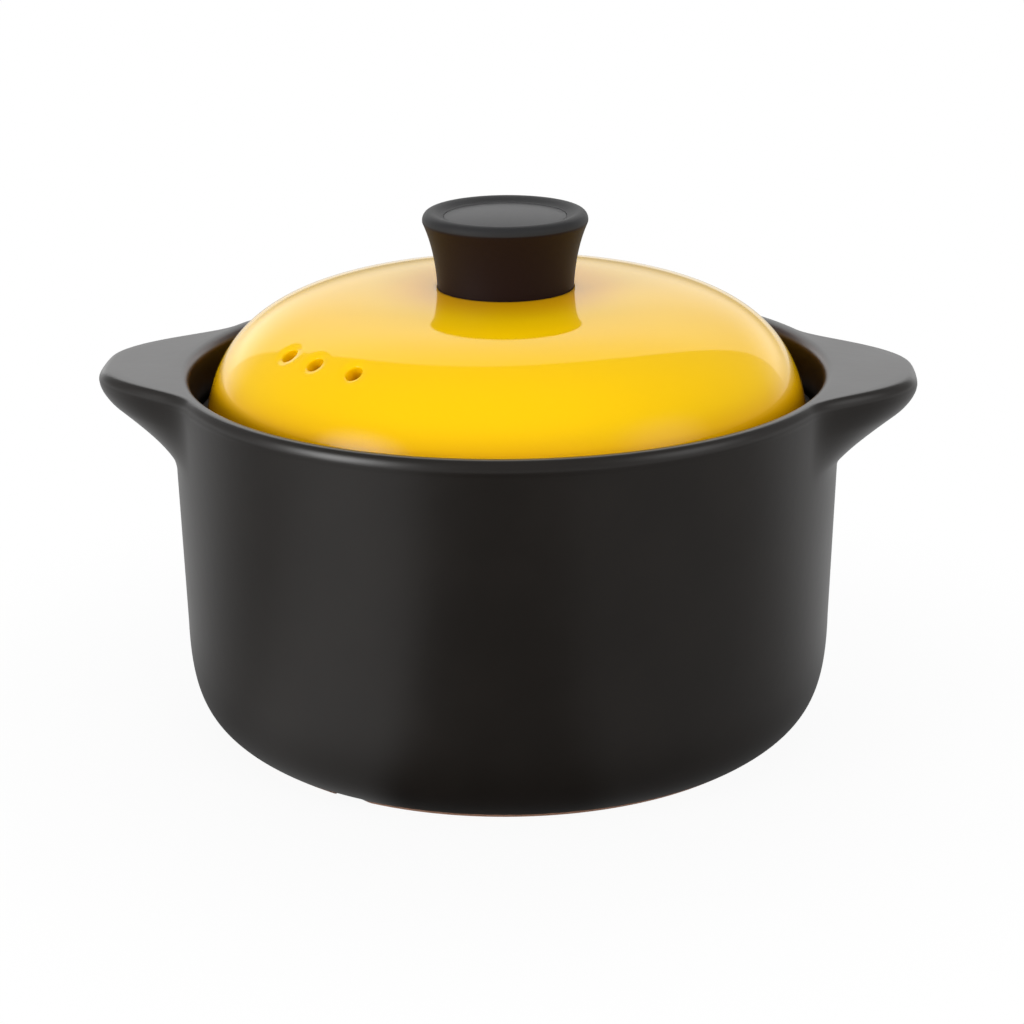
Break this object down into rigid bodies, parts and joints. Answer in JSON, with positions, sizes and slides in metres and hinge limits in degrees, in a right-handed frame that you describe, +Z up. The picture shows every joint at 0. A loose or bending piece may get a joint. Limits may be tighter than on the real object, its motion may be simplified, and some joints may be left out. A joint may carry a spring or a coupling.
{
  "type": "cooking pot",
  "caption": "Round ceramic stew pot with ear handles at the rim, a domed vented lid that drops onto an inner ledge, and a flared knob screwed through the lid.",
  "frame": {"origin": "centre of the foot ring, on the surface that the pot stands on", "axes": "+Z up along the pot's axis, +X towards the right ear handle, -Y towards the viewer of the picture"},
  "size_m": [0.244, 0.2, 0.1567],
  "materials": {
    "black_glaze": "satin",
    "yellow_glaze": "gloss",
    "black_phenolic": "matte",
    "disc_grey": "matte",
    "brass": "machined",
    "silicone": "matte",
    "stainless": "satin"
  },
  "bodies": {
    "pot": {"pot_body": "black_glaze", "ear_handle_left": "black_glaze", "ear_handle_right": "black_glaze"},
    "lid_spindle": {"knob_screw": "stainless"},
    "lid": {"lid": "yellow_glaze", "knob": "black_phenolic", "knob_top_disc": "disc_grey", "knob_insert": "brass", "knob_gasket": "silicone", "lid_bush": "silicone", "flat_washer": "stainless", "lock_washer": "stainless"}
  },
  "joints": [
    {"name": "lid_lift", "type": "slide", "parent": "pot", "child": "lid_spindle", "axis": [0, 0, 1], "range_m": [0, 0.2]},
    {"name": "lid_turn", "type": "hinge", "parent": "lid_spindle", "child": "lid", "pos_m": [0, 0, 0.1], "axis": [0, 0, 1], "continuous": true}
  ]
}
